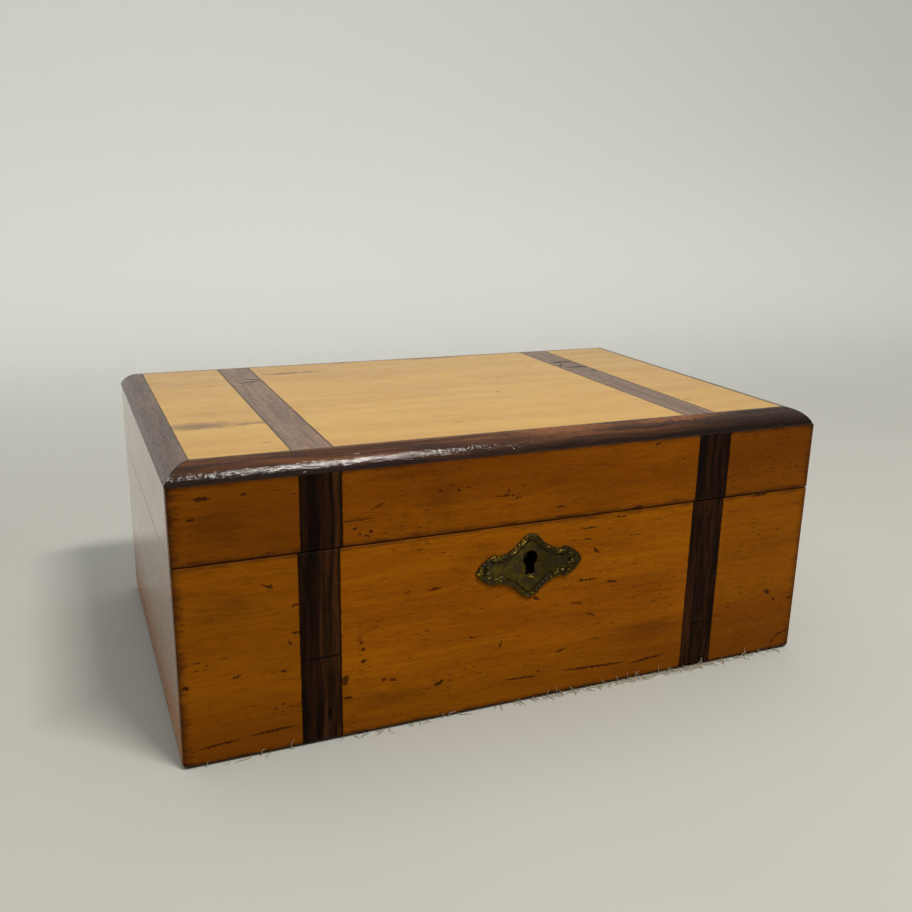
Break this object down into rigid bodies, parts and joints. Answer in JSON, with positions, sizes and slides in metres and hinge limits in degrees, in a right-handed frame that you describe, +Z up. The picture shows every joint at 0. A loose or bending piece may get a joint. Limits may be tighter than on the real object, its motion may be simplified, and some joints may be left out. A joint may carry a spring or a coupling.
{
  "type": "tea caddy",
  "caption": "Rectangular wooden box with dark inlaid bands and a rounded moulding, a back-hinged lid, a box lock and lidded compartments for tea.",
  "frame": {"origin": "middle of the base, on the underside of the base cloth", "axes": "+Z up, -Y towards the keyhole face, +X to the right as seen from the front"},
  "size_m": [0.28, 0.1808, 0.116],
  "materials": {
    "wall_wood": "aged shellac over honey coloured wood, dented and flecked",
    "top_wood": "aged shellac, worn paler than the walls",
    "inner_wood": "plain, unpolished",
    "band_wood": "dark walnut, polished and worn",
    "top_band_wood": "dark walnut, faded",
    "moulding_wood": "dark walnut, glossy",
    "cover_wood": "satin polish",
    "knob_wood": "turned and polished",
    "base_cloth": "worn woven cloth",
    "lid_lining": "padded velvet",
    "tea_foil": "dull tin and lead foil, creased",
    "patinated_brass": "dark bronze patina, bright on the high spots",
    "aged_brass": "aged satin",
    "dull_steel": "dull, slightly rusted"
  },
  "bodies": {
    "box": {"front_board": "wall_wood", "back_board": "wall_wood", "left_board": "wall_wood", "right_board": "wall_wood", "bottom_board": "inner_wood", "base_cloth": "base_cloth", "left_front_band": "band_wood", "right_front_band": "band_wood", "left_back_band": "band_wood", "right_back_band": "band_wood", "escutcheon": "patinated_brass", "escutcheon_pins": "patinated_brass", "lock_case": "aged_brass", "lock_cap": "aged_brass", "lock_key_pin": "dull_steel", "lock_screws": "dull_steel", "central_division": "inner_wood", "left_ledges": "inner_wood", "right_ledges": "inner_wood", "left_foil_lining": "tea_foil", "right_foil_lining": "tea_foil", "left_hinge_lower_leaf": "aged_brass", "right_hinge_lower_leaf": "aged_brass", "left_hinge_pin": "dull_steel", "right_hinge_pin": "dull_steel", "lower_hinge_screws": "dull_steel"},
    "lid": {"lid_front_board": "wall_wood", "lid_back_board": "wall_wood", "lid_left_board": "wall_wood", "lid_right_board": "wall_wood", "lid_top_board": "top_wood", "front_moulding": "moulding_wood", "back_moulding": "moulding_wood", "left_moulding": "moulding_wood", "right_moulding": "moulding_wood", "left_top_band": "top_band_wood", "right_top_band": "top_band_wood", "lid_left_front_band": "band_wood", "lid_right_front_band": "band_wood", "lid_left_back_band": "band_wood", "lid_right_back_band": "band_wood", "lid_lining_pad": "lid_lining", "link_plate": "aged_brass", "link_staples": "dull_steel", "link_screws": "dull_steel", "left_hinge_upper_leaf": "aged_brass", "right_hinge_upper_leaf": "aged_brass", "upper_hinge_screws": "dull_steel"},
    "bolt": {"lock_bolt": "dull_steel", "bolt_spring": "dull_steel"},
    "left_cover": {"left_inner_lid": "cover_wood", "left_inner_lid_knob": "knob_wood"},
    "right_cover": {"right_inner_lid": "cover_wood", "right_inner_lid_knob": "knob_wood"}
  },
  "joints": [
    {"name": "lid_hinge", "type": "hinge", "parent": "box", "child": "lid", "pos_m": [0, 0.0876, 0.07975], "axis": [-1, 0, 0], "range_deg": [0, 95]},
    {"name": "bolt_slide", "type": "slide", "parent": "box", "child": "bolt", "axis": [1, 0, 0], "range_m": [0, 0.0045]},
    {"name": "left_cover_lift", "type": "slide", "parent": "box", "child": "left_cover", "axis": [0, 0, 1], "range_m": [0, 0.018]},
    {"name": "right_cover_lift", "type": "slide", "parent": "box", "child": "right_cover", "axis": [0, 0, 1], "range_m": [0, 0.018]}
  ]
}
